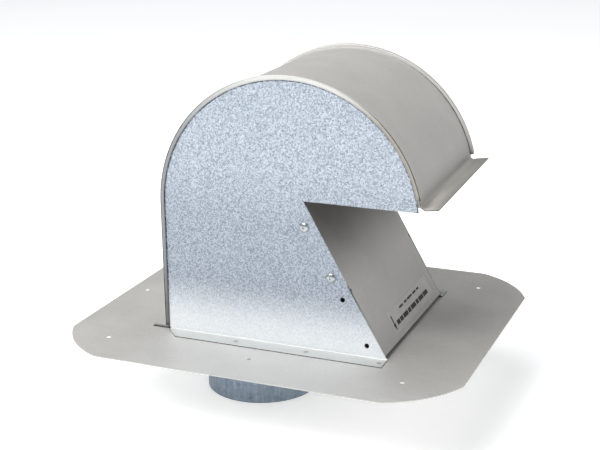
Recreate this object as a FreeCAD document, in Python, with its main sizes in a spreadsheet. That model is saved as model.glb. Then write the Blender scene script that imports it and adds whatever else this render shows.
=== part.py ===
import FreeCAD, Part
import math
import os
import re

import Sketcher
from FreeCAD import Placement, Rotation, Vector

# A dryer roof vent. The origin lies on the duct collar's axis in the roof plane, the underside of the
# flashing. +X points to the mouth and +Z away from the roof. Seen from in front, left is at -Y.
doc = FreeCAD.newDocument("dryer_roof_vent")

# Driving sizes in millimetres, angles in degrees.
SIZES = {
    # sheet metal
    "body_gauge": 0.7,
    "fold_radius": 0.4,
    # roof flashing
    "base_gauge": 0.7,
    "base_length": 354,
    "base_width": 312,
    "base_shift": 42,
    "corner_cut": 52,
    "corner_radius": 92,
    "nail_hole_radius": 2.1,
    "nail_shift": 39.5,
    "nail_run": 265,
    "nail_span": 231,
    "back_nail_inset": 16.5,
    # duct collar
    "collar_radius": 50.8,
    "collar_gauge": 0.6,
    "collar_drop": 73,
    "collar_play": 0.8,
    "collar_tab": 8,
    "tab_count": 14,
    "tab_slot": 2.2,
    "collar_seam": 7,
    "back_trim": 0.3,
    # hood
    "hood_width": 160,
    "arch_radius": 116.5,
    "arch_forward": 60,
    "arch_height": 115.1,
    "seam_rise": 3,
    "seam_width": 3.8,
    "seam_band": 4.2,
    "seam_end_angle": 12.4,
    "seam_foot_gap": 3,
    "mouth_height": 129.3,
    "lip_lift": 4,
    "lip_bend": 5,
    "lip_length": 10.7,
    "lip_tilt": 8,
    "foot_width": 15.5,
    "foot_bend": 1,
    # side panels
    "side_recess": 0.8,
    "edge_play": 0.1,
    "hem_gap": 0.8,
    "hem_return": 2.8,
    "hem_clearance": 0.4,
    "side_foot_back": -51.6,
    "foot_mitre": 12,
    # front panel
    "panel_foot": 147.5,
    "apex_forward": 74.3,
    "side_play": 0.1,
    "panel_flange": 19,
    "flange_top_gap": 4,
    "drain_gap": 4,
    "lower_edge_gap": 0.8,
    "relief_place": 65.5,
    "relief_size": 2.4,
    "seat_bend": 1,
    "seat_height": 11,
    "seat_edge_gap": 1.5,
    "rivet_inset": 10.3,
    "rivet_upper": 128.4,
    "rivet_lower": 81.4,
    "hole_upper": 61,
    "hole_lower": 18.1,
    # label film
    "label_film": 0.2,
    "label_place": 19,
    "label_height": 20,
    "label_width": 104,
    "label_shift": 12,
    # blind rivets
    "rivet_hole_radius": 2.1,
    "shank_radius": 2.03,
    "rivet_head_radius": 4.3,
    "rivet_head_height": 1.9,
    "rivet_head_edge": 0.5,
    "bulb_radius": 3,
    "bulb_length": 4.2,
    "stem_radius": 0.9,
    "stem_play": 0.05,
    "stem_recess": 0.8,
    "stem_head_radius": 1.6,
    "stem_head_length": 1.5,
    # damper
    "hinge_ahead": 1.3,
    "hinge_depth": 8.2,
    "rod_radius": 2,
    "rod_overhang": 4,
    "rod_chamfer": 0.4,
    "knuckle_play": 0.05,
    "blade_gauge": 0.5,
    "blade_radius": 105,
    "blade_side_gap": 2.9,
    "blade_seat_lift": 4,
    "blade_seat_play": 0.3,
    "blade_hem": 3.4,
    "roll_end": 260,
    "neck_gap": 2.3,
    "neck_depth": 13,
    # hanger, bushings and retainers
    "hanger_gauge": 0.9,
    "hanger_inset": 4.5,
    "hanger_strip": 14,
    "hanger_back": 6.7,
    "hanger_drop": 5,
    "weld_gap": 0.1,
    "ear_radius": 6,
    "bushing_wall": 1.2,
    "bushing_play": 0.05,
    "bushing_seat_play": 0.05,
    "bushing_flange": 4.8,
    "bushing_flange_thickness": 0.9,
    "bushing_nose": 1.4,
    "retainer_gap": 0.3,
    "retainer_radius": 4.6,
    "retainer_thickness": 0.8,
    "retainer_slots": 4,
    "retainer_slot": 0.9,
    "retainer_play": 0.02,
}

# Places and angles that follow from the driving sizes.
PLAN = {
    "slope": "atan2(mouth_height - base_gauge; panel_foot - apex_forward) / 1 deg",
    "slope_length": "sqrt((mouth_height - base_gauge)^2 + (panel_foot - apex_forward)^2)",
    "web_radius": "arch_radius - seam_rise",
    "lining_radius": "arch_radius - seam_rise - body_gauge",
    "plate_edge": "arch_radius - seam_rise - body_gauge - edge_play",
    "seam_side": "hood_width / 2 - seam_width",
    "plate_face": "hood_width / 2 - side_recess",
    "panel_half": "hood_width / 2 - side_recess - body_gauge - side_play",
    "fold_outer": "fold_radius + body_gauge",
    "roof_level": "base_gauge - arch_height",
    "seam_foot": "base_gauge + seam_foot_gap - arch_height",
    "mouth_level": "mouth_height - arch_height",
    "lip_rise": "mouth_level + lip_lift + (lip_bend + body_gauge) * cos(lip_tilt)",
    "lip_turn": "asin(lip_rise / (web_radius + lip_bend)) / 1 deg",
    "hem_rim": "arch_radius - body_gauge - hem_clearance",
    "hem_inner": "arch_radius - 2 * body_gauge - hem_clearance",
    "hinge_forward": "apex_forward + hinge_ahead",
    "hinge_height": "arch_height + sqrt((lining_radius - hinge_depth)^2 - (hinge_forward - arch_forward)^2)",
    "knuckle_inner": "rod_radius + knuckle_play",
    "knuckle_outer": "knuckle_inner + blade_gauge",
    "swing": "blade_radius - knuckle_inner",
    "tip_x": "blade_seat_play - hinge_ahead",
    "tip_z": "mouth_height + blade_seat_lift - hinge_height",
    "tip_reach": "sqrt(tip_x^2 + tip_z^2)",
    "lean_cosine": "(blade_radius^2 - tip_reach^2 - swing^2) / (2 * swing * tip_reach)",
    "blade_lean": "(atan2(tip_z; tip_x) + acos(lean_cosine)) / 1 deg",
    "blade_tip": "atan2(tip_z + swing * sin(blade_lean); tip_x + swing * cos(blade_lean)) / 1 deg",
    "grip": "2 * body_gauge + side_play",
    "blade_half": "panel_half - blade_side_gap",
    "hanger_half": "blade_half - hanger_inset",
    "neck_half": "hanger_half - neck_gap",
    "rod_half": "hanger_half + rod_overhang",
    "corner_swing": "sqrt((corner_radius^2 - corner_cut^2 / 2) / 2)",
    "seat_turn": "90 - slope",
}

dims = doc.addObject("Spreadsheet::Sheet", "dims")
plan = doc.addObject("Spreadsheet::Sheet", "plan")


def bound(formula):
    """Puts its sheet's name before each size or worked-out value that a formula names."""

    def owner(word):
        if word[0] in SIZES:
            return "dims." + word[0]
        return "plan." + word[0] if word[0] in PLAN else word[0]

    return re.sub(r"[a-z_]+\d*", owner, str(formula))


for row, (alias, size) in enumerate(SIZES.items(), 1):
    dims.set(f"A{row}", alias)
    dims.set(f"B{row}", str(size))
    dims.setAlias(f"B{row}", alias)
for row, alias in enumerate(PLAN, 1):
    plan.set(f"A{row}", alias)
    plan.setAlias(f"B{row}", alias)
doc.recompute()
for row, formula in enumerate(PLAN.values(), 1):
    plan.set(f"B{row}", "=" + bound(formula))
doc.recompute()


def value(formula):
    result = dims.evalExpression(bound(formula))
    return float(getattr(result, "Value", result))


def new_body(label, x="0", y="0", z="0", axis=None, angle="0"):
    """A body at a bound place, turned by a bound angle about a fixed axis."""
    body = doc.addObject("PartDesign::Body", label + "_body")
    body.Label = label
    if axis is not None:
        body.Placement = Placement(Vector(), Rotation(axis, value(angle)))
        body.setExpression("Placement.Rotation.Angle", bound(angle))
    for name, formula in (("x", x), ("y", y), ("z", z)):
        body.setExpression("Placement.Base." + name, bound(formula))
    return body


def sketch_on(body, plane, lift="0"):
    """An empty sketch on one of the body's own origin planes, lifted along the plane's normal."""
    sketch = body.newObject("Sketcher::SketchObject", body.Label + "_sketch")
    origin_planes = {feature.Role: feature for feature in body.Origin.OriginFeatures}
    sketch.AttachmentSupport = [(origin_planes[plane], "")]
    sketch.MapMode = "FlatFace"
    sketch.setExpression("AttachmentOffset.Base.z", bound(lift))
    return sketch


def hold(sketch, kind, geometry, point, formula):
    """Ties one coordinate of a point, or a radius, to a formula."""
    if kind == "Radius":
        constraint = Sketcher.Constraint(kind, geometry, value(formula))
    else:
        constraint = Sketcher.Constraint(kind, -1, 1, geometry, point, value(formula))
    index = sketch.addConstraint(constraint)
    sketch.setExpression(f"Constraints[{index}]", bound(formula))


def draw_loop(sketch, corners, flip=(1, 1)):
    """Draws one closed outline. A corner is (x, y). Where an arc runs on to the next corner, it is
    (x, y, centre x, centre y, turn), with turn 1 for anticlockwise. flip mirrors the outline."""
    path = []
    for corner in corners:
        place = [f"{flip[i % 2]} * ({corner[i]})" for i in range(min(len(corner), 4))]
        turn = corner[4] * flip[0] * flip[1] if len(corner) == 5 else 0
        path.append((place, [value(formula) for formula in place], turn))
    first = sketch.GeometryCount
    for index, (_, here, turn) in enumerate(path):
        there = path[(index + 1) % len(path)][1]
        start, end = Vector(here[0], here[1], 0), Vector(there[0], there[1], 0)
        if not turn:
            sketch.addGeometry(Part.LineSegment(start, end))
            continue
        centre = Vector(here[2], here[3], 0)
        angles = [math.atan2(p.y - centre.y, p.x - centre.x) for p in (start, end)][::turn]
        circle = Part.Circle(centre, Vector(0, 0, 1), start.distanceToPoint(centre))
        sketch.addGeometry(Part.ArcOfCircle(circle, *angles))
    for index, (place, here, turn) in enumerate(path):
        after = (index + 1) % len(path)
        here_point = 2 if turn < 0 else 1
        there_point = 2 if path[after][2] < 0 else 1
        geometry = first + index
        sketch.addConstraint(
            Sketcher.Constraint("Coincident", geometry, 3 - here_point, first + after, there_point)
        )
        hold(sketch, "DistanceX", geometry, here_point, place[0])
        hold(sketch, "DistanceY", geometry, here_point, place[1])
        if turn:
            there = path[after][1]
            level = abs(there[0] - here[0]) < abs(there[1] - here[1])
            hold(sketch, "DistanceX" if level else "DistanceY", geometry, 3, place[2 if level else 3])


def draw_circles(sketch, circles):
    """Draws circles given as (x, y, radius)."""
    for x, y, radius in circles:
        centre = Vector(value(x), value(y), 0)
        geometry = sketch.addGeometry(Part.Circle(centre, Vector(0, 0, 1), value(radius)))
        hold(sketch, "DistanceX", geometry, 3, x)
        hold(sketch, "DistanceY", geometry, 3, y)
        hold(sketch, "Radius", geometry, 0, radius)


def extrude(kind, body, sketch, length, side="One side", reverse=False):
    feature = body.newObject("PartDesign::" + kind, body.Label + "_" + kind.lower())
    feature.Profile = sketch
    feature.SideType = side
    feature.Reversed = reverse
    feature.setExpression("Length", bound(length))
    sketch.Visibility = False
    return feature


def pad(body, sketch, length, **options):
    return extrude("Pad", body, sketch, length, **options)


def pocket(body, sketch, length, **options):
    return extrude("Pocket", body, sketch, length, **options)


def revolve(body, sketch, angle="360"):
    """Turns a sketch about its own upright axis."""
    feature = body.newObject("PartDesign::Revolution", body.Label + "_turn")
    feature.Profile = sketch
    feature.ReferenceAxis = (sketch, ["V_Axis"])
    feature.setExpression("Angle", bound(angle))
    return feature


def mirror_whole(body):
    """Mirrors the half that is drawn at +Y to the other side."""
    doc.recompute()
    half = body.Tip
    feature = body.newObject("PartDesign::Mirrored", body.Label + "_mirror")
    feature.TransformMode = "Whole shape"
    feature.BaseFeature = half
    origin_planes = {plane.Role: plane for plane in body.Origin.OriginFeatures}
    feature.MirrorPlane = (origin_planes["XZ_Plane"], [""])
    body.Tip = feature


def repeat_round(body, feature, count):
    """Repeats one cut evenly about the body's Z axis."""
    doc.recompute()
    pattern = body.newObject("PartDesign::PolarPattern", body.Label + "_ring")
    pattern.Originals = [feature]
    origin_axes = {axis.Role: axis for axis in body.Origin.OriginFeatures}
    pattern.Axis = (origin_axes["Z_Axis"], [""])
    pattern.Angle = 360
    pattern.setExpression("Occurrences", bound(count))
    body.Tip = pattern


def on_circle(radius, angle, x="0", y="0"):
    """The point of a circle at an angle."""
    return f"({x}) + ({radius}) * cos({angle})", f"({y}) + ({radius}) * sin({angle})"


def base_flashing():
    body = new_body("base_flashing")
    end, side = "base_length / 2", "base_width / 2"
    corners = []
    for across, along in ((1, -1), (1, 1), (-1, 1), (-1, -1)):
        on_side = (f"base_shift + {across} * ({end} - corner_cut)", f"{along} * ({side})")
        on_end = (f"base_shift + {across} * ({end})", f"{along} * ({side} - corner_cut)")
        centre = (
            f"base_shift + {across} * ({end} - corner_cut / 2 - corner_swing)",
            f"{along} * ({side} - corner_cut / 2 - corner_swing)",
        )
        entry, leave = (on_side, on_end) if across * along < 0 else (on_end, on_side)
        corners += [(*entry, *centre, 1), leave]
    outline = sketch_on(body, "XY_Plane")
    draw_loop(outline, corners)
    pad(body, outline, "base_gauge")
    holes = sketch_on(body, "XY_Plane")
    draw_circles(holes, [("0", "0", "collar_radius + collar_play")])
    places = [(f"base_shift - {end} + back_nail_inset", "0")]
    for along in ("nail_shift - nail_run / 2", "nail_shift", "nail_shift + nail_run / 2"):
        places += [(along, "nail_span / 2"), (along, "-nail_span / 2")]
    draw_circles(holes, [(x, y, "nail_hole_radius") for x, y in places])
    pocket(body, holes, "4 * base_gauge", side="Symmetric")


def duct_collar():
    body = new_body("duct_collar")
    wall = "collar_radius - collar_gauge"
    brim = "collar_radius + collar_play + collar_tab"
    profile = sketch_on(body, "XZ_Plane")
    draw_loop(
        profile,
        [
            (wall, "-collar_drop"),
            ("collar_radius", "-collar_drop"),
            ("collar_radius", "base_gauge"),
            (brim, "base_gauge"),
            (brim, "base_gauge + collar_gauge"),
            ("collar_radius", "base_gauge + collar_gauge"),
            (wall, "base_gauge"),
        ],
    )
    revolve(body, profile)
    seam = sketch_on(body, "XY_Plane", "-collar_drop")
    lap_out, lap_in = "collar_radius - collar_gauge / 2", "collar_radius - 2 * collar_gauge"
    half_turn = "collar_seam / 2 / collar_radius * 180 / pi"
    draw_loop(
        seam,
        [
            (*on_circle(lap_out, f"180 - {half_turn}"), "0", "0", 1),
            on_circle(lap_out, f"180 + {half_turn}"),
            (*on_circle(lap_in, f"180 + {half_turn}"), "0", "0", -1),
            on_circle(lap_in, f"180 - {half_turn}"),
        ],
    )
    pad(body, seam, "collar_drop - collar_gauge")
    slot = sketch_on(body, "XY_Plane", "base_gauge + 2 * collar_gauge")
    slot_start = "collar_radius + collar_play"
    draw_loop(
        slot,
        [
            (slot_start, "-tab_slot / 2"),
            (f"{slot_start} + 2 * collar_tab", "-tab_slot / 2"),
            (f"{slot_start} + 2 * collar_tab", "tab_slot / 2"),
            (slot_start, "tab_slot / 2"),
        ],
    )
    repeat_round(body, pocket(body, slot, "2 * collar_gauge"), "tab_count")
    trim = sketch_on(body, "XY_Plane", "base_gauge + 2 * collar_gauge")
    back_wall, beyond = "arch_forward - lining_radius + back_trim", f"-2 * ({brim})"
    draw_loop(trim, [(back_wall, f"-({brim})"), (back_wall, brim), (beyond, brim), (beyond, f"-({brim})")])
    pocket(body, trim, "2 * collar_gauge")


def hood_wrap():
    """Half of the wrap is drawn about the arch's axis: the folded seam's section is drawn straight up the
    back and turned over the arch, then the lip and the back foot are added and all of it is mirrored."""
    body = new_body("hood_wrap", x="arch_forward", z="arch_height")
    crest, step = "arch_radius - fold_radius", "seam_side"
    rim = "hood_width / 2"
    near, far = f"{step} + fold_radius", f"{rim} - fold_radius"
    section = [
        ("-web_radius", "0"),
        ("-web_radius", step),
        (f"-({crest})", step),
        ("-arch_radius", near),
        ("-arch_radius", far),
        (f"-({crest})", rim),
        ("-(arch_radius - seam_band)", rim),
        ("-(arch_radius - seam_band)", f"{rim} - body_gauge"),
        ("-(arch_radius - body_gauge)", f"{rim} - body_gauge"),
        ("-(arch_radius - body_gauge)", f"{step} + body_gauge"),
        ("-lining_radius", f"{step} + body_gauge"),
        ("-lining_radius", "0"),
    ]
    back = sketch_on(body, "XY_Plane")
    draw_loop(back, section)
    pad(body, back, "-seam_foot", reverse=True)
    arch = sketch_on(body, "XY_Plane")
    draw_loop(arch, section)
    revolve(body, arch, "180 - seam_end_angle")

    turn_x, turn_y = on_circle("web_radius + lip_bend", "lip_turn")
    along = ("cos(lip_tilt)", "sin(lip_tilt)")
    top = (f"{turn_x} + lip_bend * sin(lip_tilt)", f"{turn_y} - lip_bend * cos(lip_tilt)")
    under = (
        f"{turn_x} + (lip_bend + body_gauge) * sin(lip_tilt)",
        f"{turn_y} - (lip_bend + body_gauge) * cos(lip_tilt)",
    )
    lip = sketch_on(body, "XZ_Plane", "-seam_side")
    draw_loop(
        lip,
        [
            (*on_circle("web_radius", "seam_end_angle"), "0", "0", -1),
            (*on_circle("web_radius", "lip_turn"), turn_x, turn_y, 1),
            top,
            (f"{top[0]} + lip_length * {along[0]}", f"{top[1]} + lip_length * {along[1]}"),
            (f"{under[0]} + lip_length * {along[0]}", f"{under[1]} + lip_length * {along[1]}"),
            (*under, turn_x, turn_y, -1),
            (*on_circle("lining_radius", "lip_turn"), "0", "0", 1),
            on_circle("lining_radius", "seam_end_angle"),
        ],
    )
    pad(body, lip, "seam_side")

    bend_x, bend_z = "-(web_radius + foot_bend)", "roof_level + body_gauge + foot_bend"
    foot = sketch_on(body, "XZ_Plane", "-plate_face")
    draw_loop(
        foot,
        [
            ("-web_radius", "seam_foot"),
            ("-web_radius", bend_z, bend_x, bend_z, -1),
            (bend_x, "roof_level + body_gauge"),
            ("-(web_radius + foot_width)", "roof_level + body_gauge"),
            ("-(web_radius + foot_width)", "roof_level"),
            (bend_x, "roof_level", bend_x, bend_z, 1),
            ("-lining_radius", bend_z),
            ("-lining_radius", "seam_foot"),
        ],
    )
    pad(body, foot, "plate_face")
    mirror_whole(body)


def slope_point(along, inset):
    """A point of the side plate, from how far it lies up the sloping edge and inside it."""
    return (
        f"panel_foot - arch_forward - ({along}) * cos(slope) - ({inset}) * sin(slope)",
        f"roof_level + ({along}) * sin(slope) - ({inset}) * cos(slope)",
    )


def side_panel(label, side):
    """A side plate, drawn about the arch's axis. side is -1 at -Y and 1 at +Y."""
    body = new_body(label, x="arch_forward", z="arch_height")
    bend_level = "roof_level + body_gauge + foot_bend"
    outline = sketch_on(body, "XZ_Plane", "plate_face - body_gauge" if side < 0 else "-plate_face")
    draw_loop(
        outline,
        [
            ("-plate_edge", bend_level),
            ("panel_foot - arch_forward - (body_gauge + foot_bend) / tan(slope)", bend_level),
            ("apex_forward - arch_forward", "mouth_level"),
            ("sqrt(plate_edge^2 - mouth_level^2)", "mouth_level", "0", "0", 1),
            on_circle("plate_edge", "seam_end_angle"),
            (*on_circle("hem_inner", "seam_end_angle"), "0", "0", 1),
            ("-hem_inner", "0"),
            ("-hem_inner", "seam_foot"),
            ("-plate_edge", "seam_foot"),
        ],
    )
    pad(body, outline, "body_gauge")

    lap, hem_end = "-(hem_inner - body_gauge)", "-(hem_inner - hem_return)"
    hem_edge = "plate_face - 2 * body_gauge - hem_gap"
    section = [
        (lap, "plate_face"),
        ("-hem_rim", "plate_face"),
        ("-hem_rim", hem_edge),
        (hem_end, hem_edge),
        (hem_end, f"{hem_edge} + body_gauge"),
        ("-hem_inner", f"{hem_edge} + body_gauge"),
        ("-hem_inner", "plate_face - body_gauge"),
        (lap, "plate_face - body_gauge"),
    ]
    back = sketch_on(body, "XY_Plane")
    draw_loop(back, section, flip=(1, side))
    pad(body, back, "-seam_foot", reverse=True)
    arch = sketch_on(body, "XY_Plane")
    draw_loop(arch, section, flip=(1, side))
    revolve(body, arch, "180 - seam_end_angle")

    foot = sketch_on(body, "YZ_Plane", "side_foot_back - arch_forward")
    draw_loop(
        foot,
        [
            ("plate_face", bend_level, "plate_face + foot_bend", bend_level, 1),
            ("plate_face + foot_bend", "roof_level + body_gauge"),
            ("plate_face + foot_width", "roof_level + body_gauge"),
            ("plate_face + foot_width", "roof_level"),
            ("plate_face + foot_bend", "roof_level", "plate_face + foot_bend", bend_level, -1),
            ("plate_face - body_gauge", bend_level),
        ],
        flip=(side, 1),
    )
    pad(body, foot, "panel_foot - side_foot_back")
    mitre = sketch_on(body, "XY_Plane", "roof_level + 2 * body_gauge")
    start, tip = "side_foot_back - arch_forward", "plate_face + foot_width"
    draw_loop(
        mitre,
        [(start, f"{tip} - foot_mitre"), (f"{start} + foot_mitre", tip), (start, tip)],
        flip=(1, side),
    )
    pocket(body, mitre, "3 * body_gauge")
    holes = sketch_on(body, "XZ_Plane")
    places = ("rivet_upper", "rivet_lower", "hole_upper", "hole_lower")
    draw_circles(holes, [(*slope_point(place, "rivet_inset"), "rivet_hole_radius") for place in places])
    pocket(body, holes, "hood_width + foot_width", side="Symmetric")


def on_slope(label):
    """A body whose X runs up the slope from its foot and whose Z points into the hood."""
    return new_body(label, x="panel_foot", z="base_gauge", axis=Vector(0, -1, 0), angle="180 - slope")


def front_panel():
    body = on_slope("front_panel")
    edge, inner = "panel_half - fold_outer", "panel_half - body_gauge"
    flanged = sketch_on(body, "YZ_Plane", "relief_place")
    draw_loop(
        flanged,
        [
            ("0", "0"),
            (edge, "0", edge, "fold_outer", 1),
            ("panel_half", "fold_outer"),
            ("panel_half", "panel_flange"),
            (inner, "panel_flange"),
            (inner, "fold_outer", edge, "fold_outer", -1),
            (edge, "body_gauge"),
            ("0", "body_gauge"),
        ],
    )
    pad(body, flanged, "slope_length - flange_top_gap - relief_place")
    flat = sketch_on(body, "YZ_Plane", "drain_gap")
    flat_edge = "panel_half - lower_edge_gap"
    draw_loop(flat, [("0", "0"), (flat_edge, "0"), (flat_edge, "body_gauge"), ("0", "body_gauge")])
    pad(body, flat, "relief_place - drain_gap")

    bend_x = "slope_length - seat_bend * tan(seat_turn / 2)"
    face = (f"{bend_x} + seat_bend * sin(seat_turn)", "seat_bend * (cos(seat_turn) - 1)")
    back = (
        f"{bend_x} + (seat_bend + body_gauge) * sin(seat_turn)",
        "(seat_bend + body_gauge) * cos(seat_turn) - seat_bend",
    )
    rise = ("seat_height * cos(seat_turn)", "-seat_height * sin(seat_turn)")
    seat = sketch_on(body, "XZ_Plane", "-(panel_half - seat_edge_gap)")
    draw_loop(
        seat,
        [
            ("slope_length - flange_top_gap", "0"),
            ("slope_length - flange_top_gap", "body_gauge"),
            (bend_x, "body_gauge", bend_x, "-seat_bend", -1),
            back,
            (f"{back[0]} + {rise[0]}", f"{back[1]} + {rise[1]}"),
            (f"{face[0]} + {rise[0]}", f"{face[1]} + {rise[1]}"),
            (*face, bend_x, "-seat_bend", 1),
            (bend_x, "0"),
        ],
    )
    pad(body, seat, "panel_half - seat_edge_gap")
    relief = sketch_on(body, "XY_Plane")
    low, high = "relief_place - relief_size / 2", "relief_place + relief_size / 2"
    inside, outside = "panel_half - relief_size", "panel_half + relief_size"
    draw_loop(relief, [(low, inside), (high, inside), (high, outside), (low, outside)])
    pocket(body, relief, "8 * body_gauge", side="Symmetric")
    holes = sketch_on(body, "XZ_Plane")
    places = ("rivet_upper", "rivet_lower")
    draw_circles(holes, [(place, "rivet_inset", "rivet_hole_radius") for place in places])
    pocket(body, holes, "hood_width + foot_width", side="Symmetric")
    mirror_whole(body)


def front_label():
    body = on_slope("front_label")
    low, high = "label_place - label_height / 2", "label_place + label_height / 2"
    left, right = "label_shift - label_width / 2", "label_shift + label_width / 2"
    outline = sketch_on(body, "XY_Plane")
    draw_loop(outline, [(low, left), (high, left), (high, right), (low, right)])
    pad(body, outline, "label_film", reverse=True)


def at_rivet(label, side, place):
    """A body whose Z is a rivet's axis, pointing out of the side plate's face."""
    x, z = slope_point(place, "rivet_inset")
    return new_body(
        label,
        x=f"arch_forward + {x}",
        y=f"{side} * plate_face",
        z=f"arch_height + {z}",
        axis=Vector(-side, 0, 0),
        angle="90",
    )


def rivet(label, side, place):
    body = at_rivet(label, side, place)
    bore, blind = "stem_radius + stem_play", "-(grip + bulb_length)"
    profile = sketch_on(body, "XZ_Plane")
    draw_loop(
        profile,
        [
            (bore, blind),
            ("bulb_radius", blind),
            ("bulb_radius", "-grip"),
            ("shank_radius", "-grip"),
            ("shank_radius", "0"),
            ("rivet_head_radius", "0"),
            ("rivet_head_radius", "rivet_head_edge"),
            (bore, "rivet_head_height"),
        ],
    )
    revolve(body, profile)


def mandrel(label, side, place):
    body = at_rivet(label, side, place)
    blind = "-(grip + bulb_length)"
    profile = sketch_on(body, "XZ_Plane")
    draw_loop(
        profile,
        [
            ("0", f"{blind} - stem_head_length"),
            ("stem_head_radius", f"{blind} - stem_head_length"),
            ("stem_head_radius", blind),
            ("stem_radius", blind),
            ("stem_radius", "rivet_head_height - stem_recess"),
            ("0", "rivet_head_height - stem_recess"),
        ],
    )
    revolve(body, profile)


def at_hinge(label, side=0):
    """A body at the hinge axis. With a side, its Z points along the axis to that side."""
    if side:
        return new_body(label, x="hinge_forward", z="hinge_height", axis=Vector(-side, 0, 0), angle="90")
    return new_body(label, x="hinge_forward", z="hinge_height")


def damper_hanger():
    body = at_hinge("damper_hanger")
    centre = ("arch_forward - hinge_forward", "arch_height - hinge_height")
    outer, inner = "lining_radius - weld_gap", "lining_radius - weld_gap - hanger_gauge"
    rear, front = "-(hanger_back + hanger_strip)", "-hanger_back"

    def on_lining(x, radius):
        return x, f"{centre[1]} + sqrt(({radius})^2 - ({x} - ({centre[0]}))^2)"

    strip = sketch_on(body, "XZ_Plane", "-hanger_half")
    draw_loop(
        strip,
        [
            (*on_lining(rear, outer), *centre, -1),
            on_lining(front, outer),
            (front, "-hanger_drop"),
            (f"{front} - hanger_gauge", "-hanger_drop"),
            (*on_lining(f"{front} - hanger_gauge", inner), *centre, 1),
            on_lining(rear, inner),
        ],
    )
    pad(body, strip, "hanger_half")
    ear = sketch_on(body, "XZ_Plane", "-hanger_half")
    tail = f"{front} - hanger_gauge / 2"
    draw_loop(
        ear,
        [
            (tail, "-hanger_drop"),
            (front, "-ear_radius"),
            ("0", "-ear_radius", "0", "0", 1),
            ("0", "ear_radius"),
            (tail, "ear_radius"),
        ],
    )
    pad(body, ear, "hanger_gauge")
    bores = sketch_on(body, "XZ_Plane", "-(hanger_half + hanger_gauge)")
    draw_circles(bores, [("0", "0", "rod_radius + bushing_play + bushing_wall + bushing_seat_play")])
    pocket(body, bores, "3 * hanger_gauge", reverse=True)
    mirror_whole(body)


def rod_bushing(label, side):
    body = at_hinge(label, side)
    bore, sleeve = "rod_radius + bushing_play", "rod_radius + bushing_play + bushing_wall"
    ear_face = "hanger_half - hanger_gauge"
    start = f"{ear_face} - bushing_flange_thickness"
    profile = sketch_on(body, "XZ_Plane")
    draw_loop(
        profile,
        [
            (bore, start),
            ("bushing_flange", start),
            ("bushing_flange", ear_face),
            (sleeve, ear_face),
            (sleeve, "hanger_half + bushing_nose"),
            (bore, "hanger_half + bushing_nose"),
        ],
    )
    revolve(body, profile)


def rod_retainer(label, side):
    body = at_hinge(label, side)
    start = "hanger_half + bushing_nose + retainer_gap"
    disc = sketch_on(body, "XY_Plane", start)
    draw_circles(disc, [("0", "0", "retainer_radius"), ("0", "0", "rod_radius + retainer_play")])
    pad(body, disc, "retainer_thickness")
    slot = sketch_on(body, "XY_Plane", f"{start} + retainer_thickness")
    reach, half = "(rod_radius + retainer_radius) / 2", "retainer_slot / 2"
    draw_loop(slot, [("0", f"-{half}"), (reach, f"-{half}"), (reach, half), ("0", half)])
    repeat_round(body, pocket(body, slot, "2 * retainer_thickness"), "retainer_slots")


def damper_rod():
    body = at_hinge("damper_rod", 1)
    end, bevel = "rod_half", "rod_half - rod_chamfer"
    profile = sketch_on(body, "XZ_Plane")
    draw_loop(
        profile,
        [
            ("0", f"-({end})"),
            ("rod_radius - rod_chamfer", f"-({end})"),
            ("rod_radius", f"-({bevel})"),
            ("rod_radius", bevel),
            ("rod_radius - rod_chamfer", end),
            ("0", end),
        ],
    )
    revolve(body, profile)


def damper_blade():
    """The blade hangs shut: a curved sheet rolled round the rod above and hemmed at its free edge."""
    body = at_hinge("damper_blade")
    centre = ("-swing * cos(blade_lean)", "-swing * sin(blade_lean)")
    face, hem = "blade_radius + blade_gauge", "blade_radius + 2 * blade_gauge"
    hem_start = "blade_tip + blade_hem"
    profile = sketch_on(body, "XZ_Plane", "-blade_half")
    draw_loop(
        profile,
        [
            (*on_circle("knuckle_outer", "blade_lean"), *centre, -1),
            on_circle(face, hem_start, *centre),
            (*on_circle(hem, hem_start, *centre), *centre, -1),
            (*on_circle(hem, "blade_tip", *centre), *on_circle(face, "blade_tip", *centre), -1),
            (*on_circle("blade_radius", "blade_tip", *centre), *centre, 1),
            (*on_circle("knuckle_inner", "blade_lean"), "0", "0", 1),
            on_circle("knuckle_inner", "roll_end"),
            (*on_circle("knuckle_outer", "roll_end"), "0", "0", -1),
        ],
    )
    pad(body, profile, "2 * blade_half")
    for side in (1, -1):
        neck = sketch_on(body, "YZ_Plane")
        inside, outside = "neck_half", "2 * blade_half"
        draw_loop(
            neck,
            [
                (inside, "-neck_depth"),
                (outside, "-neck_depth"),
                (outside, "2 * knuckle_outer"),
                (inside, "2 * knuckle_outer"),
            ],
            flip=(side, 1),
        )
        pocket(body, neck, "blade_radius", side="Symmetric")


base_flashing()
duct_collar()
hood_wrap()
front_panel()
front_label()
damper_hanger()
damper_rod()
damper_blade()
for name, sign in (("left", -1), ("right", 1)):
    side_panel("side_panel_" + name, sign)
    rod_bushing("rod_bushing_" + name, sign)
    rod_retainer("rod_retainer_" + name, sign)
    for level in ("upper", "lower"):
        rivet(f"rivet_{name}_{level}", sign, "rivet_" + level)
        mandrel(f"mandrel_{name}_{level}", sign, "rivet_" + level)
doc.recompute()

for item in doc.Objects:
    if "Invalid" in item.State or "Error" in item.State:
        raise ValueError(f"{item.Label} failed: {item.State}")
pieces = [item for item in doc.Objects if item.TypeId == "PartDesign::Body"]
for piece in pieces:
    if piece.Shape.isNull() or not piece.Shape.isValid() or len(piece.Shape.Solids) != 1:
        raise ValueError(f"{piece.Label} isn't one valid solid")

os.makedirs("parts", exist_ok=True)
for piece in pieces:
    piece.Shape.exportStep(f"parts/{piece.Label}.step")
    box = piece.Shape.BoundBox
    corners = [round(v, 2) for v in (box.XMin, box.YMin, box.ZMin, box.XMax, box.YMax, box.ZMax)]
    print(piece.Label, round(piece.Shape.Volume, 1), corners)
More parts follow.
